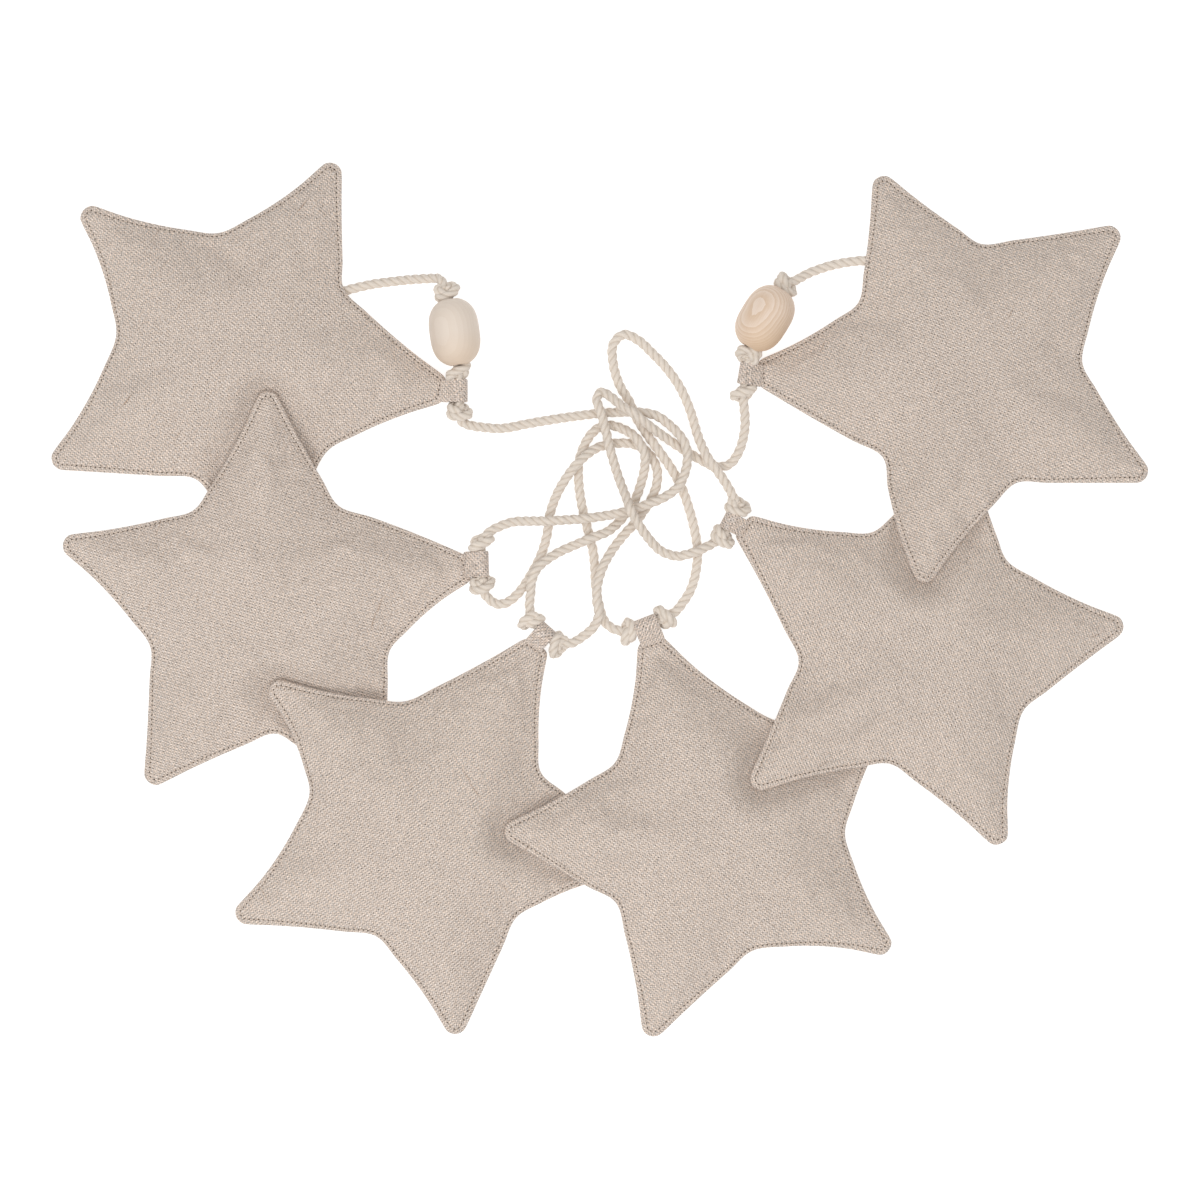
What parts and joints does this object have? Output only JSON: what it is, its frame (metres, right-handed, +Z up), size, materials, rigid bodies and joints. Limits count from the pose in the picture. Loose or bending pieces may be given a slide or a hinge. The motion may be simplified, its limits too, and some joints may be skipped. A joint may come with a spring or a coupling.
{
  "type": "fabric star garland",
  "caption": "Padded linen stars tied by fabric tabs onto a twisted cotton cord with knots and oval wooden beads, gathered in a loose wreath.",
  "frame": {"origin": "middle of the outline of the laid-out stars, on the surface that the garland lies on", "axes": "+Z up from the surface; +Y towards the gap between the first and last stars, where the beads are; +X from the first star's side to the last star's side"},
  "size_m": [0.5507, 0.4389, 0.0279],
  "materials": {
    "linen": "natural plain-weave linen, matte, with slubs",
    "cotton": "undyed three-strand twisted cotton, matte",
    "pale_wood": "pale straight-grained wood, smooth, unvarnished",
    "warm_wood": "warmer wood with curved growth rings, smooth, unvarnished"
  },
  "bodies": {
    "root": {"star_1": "linen", "star_2": "linen", "star_3": "linen", "star_4": "linen", "star_5": "linen", "star_6": "linen", "tab_1": "linen", "tab_2": "linen", "tab_3": "linen", "tab_4": "linen", "tab_5": "linen", "tab_6": "linen", "bead_1": "pale_wood", "bead_2": "warm_wood", "knot_1_outer": "cotton", "knot_1_inner": "cotton", "knot_1_low": "cotton", "knot_2_high": "cotton", "knot_2_low": "cotton", "knot_3_left": "cotton", "knot_3_right": "cotton", "knot_4_left": "cotton", "knot_4_right": "cotton", "knot_5_high": "cotton", "knot_5_low": "cotton", "knot_6_low": "cotton", "knot_6_inner": "cotton", "knot_6_outer": "cotton", "knot_1_end": "cotton", "knot_6_end": "cotton", "cord_end_1": "cotton", "cord_1_2": "cotton", "cord_2_3": "cotton", "cord_3_4": "cotton", "cord_4_5": "cotton", "cord_5_6": "cotton", "cord_end_6": "cotton", "cord_in_tab_1": "cotton", "cord_in_tab_2": "cotton", "cord_in_tab_3": "cotton", "cord_in_tab_4": "cotton", "cord_in_tab_5": "cotton", "cord_in_tab_6": "cotton", "cord_in_bead_1": "cotton", "cord_in_bead_2": "cotton"}
  },
  "joints": []
}
